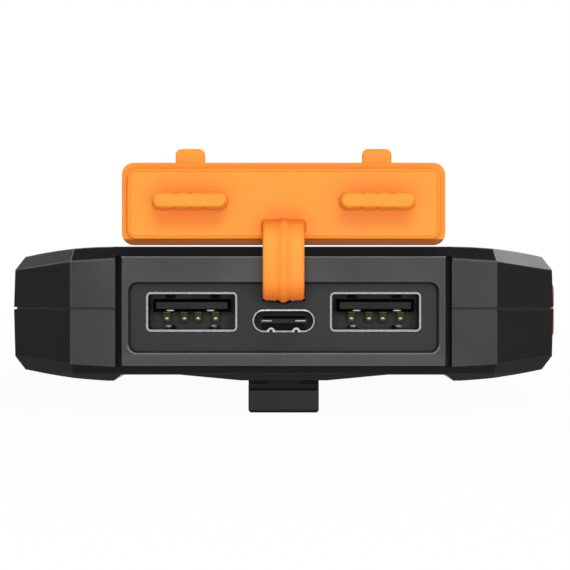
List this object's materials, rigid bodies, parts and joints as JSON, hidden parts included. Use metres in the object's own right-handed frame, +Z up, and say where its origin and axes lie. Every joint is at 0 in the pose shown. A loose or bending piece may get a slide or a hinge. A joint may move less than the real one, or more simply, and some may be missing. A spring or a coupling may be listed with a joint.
{
  "type": "jump starter pack",
  "caption": "Slim armoured battery pack with USB sockets behind a flip-up port cover, a side socket for jump leads, a power button, a display, an end lamp and a fold-out prop foot.",
  "frame": {"origin": "centre of the underside, on the flat that the case lies on with its prop foot folded", "axes": "+X to the side with the jump socket, +Y from the USB end to the lamp end, +Z up"},
  "size_m": [0.0798, 0.1723, 0.0377],
  "materials": {
    "case_plastic": "fine satin texture",
    "seal_rubber": "matt",
    "orange_silicone": "satin",
    "steel": "plain",
    "dark_steel": "blackened",
    "socket_insulator": "moulded",
    "contact_brass": "gilt",
    "socket_plastic": "moulded",
    "copper": "tinned edge",
    "button_plastic": "gloss",
    "smoked_window": "gloss",
    "display_black": "gloss",
    "board_green": "solder mask",
    "spacer_plastic": "moulded",
    "component_black": "moulded",
    "pouch_foil": "foil",
    "tab_nickel": "plain",
    "foam": "foam",
    "clear_lens": "clear",
    "reflector_chrome": "mirror",
    "lamp_aluminium": "white coat",
    "led_phosphor": "gloss"
  },
  "bodies": {
    "case": {"upper_shell": "case_plastic", "lower_shell": "case_plastic", "port_panel": "case_plastic", "rear_panel": "case_plastic", "seam_seal": "seal_rubber", "jump_cover_neck": "orange_silicone", "usb_a_shell_left": "steel", "usb_a_shell_right": "steel", "usb_c_shell": "steel", "usb_c_plate": "steel", "foot_pin": "steel", "case_screws": "dark_steel", "usb_a_tongue_left": "socket_insulator", "usb_a_tongue_right": "socket_insulator", "usb_c_tongue": "socket_insulator", "usb_a_contacts": "contact_brass", "jump_terminals": "contact_brass", "jump_socket_body": "socket_plastic", "bus_bars": "copper", "button_switch": "button_plastic", "display_window": "smoked_window", "display_module": "display_black", "display_board": "board_green", "main_board": "board_green", "display_posts": "spacer_plastic", "board_components": "component_black", "battery_cells": "pouch_foil", "cell_tabs": "tab_nickel", "cell_pads": "foam", "lamp_lens": "clear_lens", "lamp_reflector": "reflector_chrome", "lamp_board": "lamp_aluminium", "lamp_leds": "led_phosphor"},
    "port_cover": {"port_cover": "orange_silicone"},
    "cover_strap": {"cover_strap": "orange_silicone"},
    "jump_cover": {"jump_cover": "orange_silicone"},
    "power_button": {"power_button": "button_plastic"},
    "prop_foot": {"prop_foot": "case_plastic"}
  },
  "joints": [
    {"name": "cover_pull", "type": "slide", "parent": "case", "child": "cover_strap", "axis": [0, 1, 0], "range_m": [0, 0.0052]},
    {"name": "port_cover_hinge", "type": "hinge", "parent": "cover_strap", "child": "port_cover", "pos_m": [0, -0.08505, 0.01713], "axis": [1, 0, 0], "range_deg": [0, 180], "deforming": ["cover_strap"]},
    {"name": "jump_cover_hinge", "type": "hinge", "parent": "case", "child": "jump_cover", "pos_m": [0.03955, -0.029, 0.0097], "axis": [0, 0, 1], "range_deg": [0, 110], "deforming": ["jump_cover_neck"]},
    {"name": "power_button_press", "type": "slide", "parent": "case", "child": "power_button", "axis": [0, 0, -1], "range_m": [0, 0.0005], "stiffness_N_per_m": 600, "springref_m": -0.0006},
    {"name": "prop_foot_fold", "type": "hinge", "parent": "case", "child": "prop_foot", "pos_m": [0, -0.0733, 0.0023], "axis": [1, 0, 0], "range_deg": [0, 90]}
  ]
}
